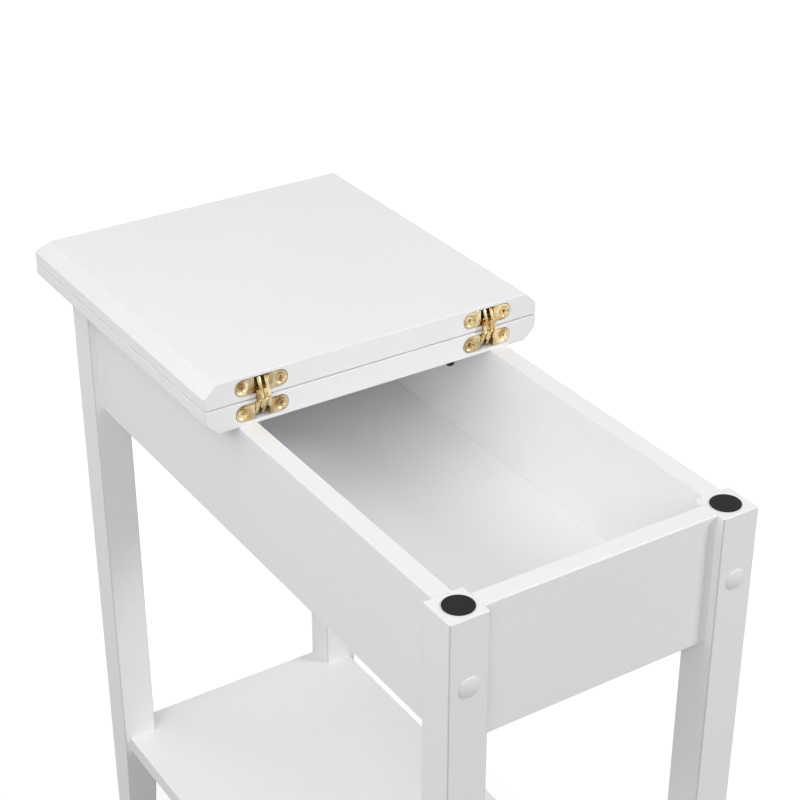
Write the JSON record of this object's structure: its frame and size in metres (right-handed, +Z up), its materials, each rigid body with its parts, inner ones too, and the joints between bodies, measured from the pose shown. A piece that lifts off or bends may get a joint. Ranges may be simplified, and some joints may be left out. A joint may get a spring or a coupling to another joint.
{
  "type": "flip-top end table",
  "caption": "Narrow white end table whose hinged top leaf folds back over its twin to open a storage box, with tapered legs and a low shelf.",
  "frame": {"origin": "middle of the base of the whole table at rest, on the floor", "axes": "+Z up, +X across the table to its right as seen from the open end of the box, +Y along the table from the open end to the end under the folded leaves"},
  "size_m": [0.29, 0.5819, 0.6307],
  "materials": {
    "white_paint": "satin white paint on board and solid wood",
    "brass": "bright brass plating",
    "black_felt": "pressed black felt",
    "white_plastic": "moulded, satin",
    "zinc_steel": "bright zinc plating",
    "dark_steel": "black zinc plating",
    "beech": "bare fluted dowel, sanded"
  },
  "bodies": {
    "table": {"fixed_leaf": "white_paint", "apron_left": "white_paint", "apron_right": "white_paint", "apron_front": "white_paint", "apron_rear": "white_paint", "box_floor": "white_paint", "shelf": "white_paint", "leg_front_left": "white_paint", "leg_front_right": "white_paint", "leg_rear_left": "white_paint", "leg_rear_right": "white_paint", "hinge_halves_fixed": "brass", "hinge_screws_fixed": "brass", "hinge_pins_fixed": "brass", "felt_pads": "black_felt", "bolt_caps": "white_plastic", "apron_bolts": "zinc_steel", "barrel_nuts": "zinc_steel", "corner_braces": "dark_steel", "brace_screws": "dark_steel", "apron_dowels": "beech", "shelf_dowels": "beech"},
    "flip_top": {"flip_leaf": "white_paint", "hinge_halves_flip": "brass", "hinge_screws_flip": "brass", "hinge_pins_flip": "brass"},
    "lower_links": {"hinge_links_lower": "brass"},
    "upper_links": {"hinge_links_upper": "brass"}
  },
  "joints": [
    {"name": "top_flip", "type": "hinge", "parent": "table", "child": "flip_top", "pos_m": [0, -0.00903, 0.61105], "axis": [1, 0, 0], "range_deg": [0, 180]},
    {"name": "lower_links_turn", "type": "hinge", "parent": "table", "child": "lower_links", "pos_m": [0, -0.00513, 0.60505], "axis": [1, 0, 0], "range_deg": [0, 106]},
    {"name": "upper_links_turn", "type": "hinge", "parent": "flip_top", "child": "upper_links", "pos_m": [0, -0.00513, 0.61705], "axis": [-1, 0, 0], "range_deg": [0, 106]}
  ],
  "couplings": [
    {"joint": "lower_links_turn", "follows": "top_flip", "ratio": 0.58889},
    {"joint": "upper_links_turn", "follows": "top_flip", "ratio": 0.58889}
  ]
}
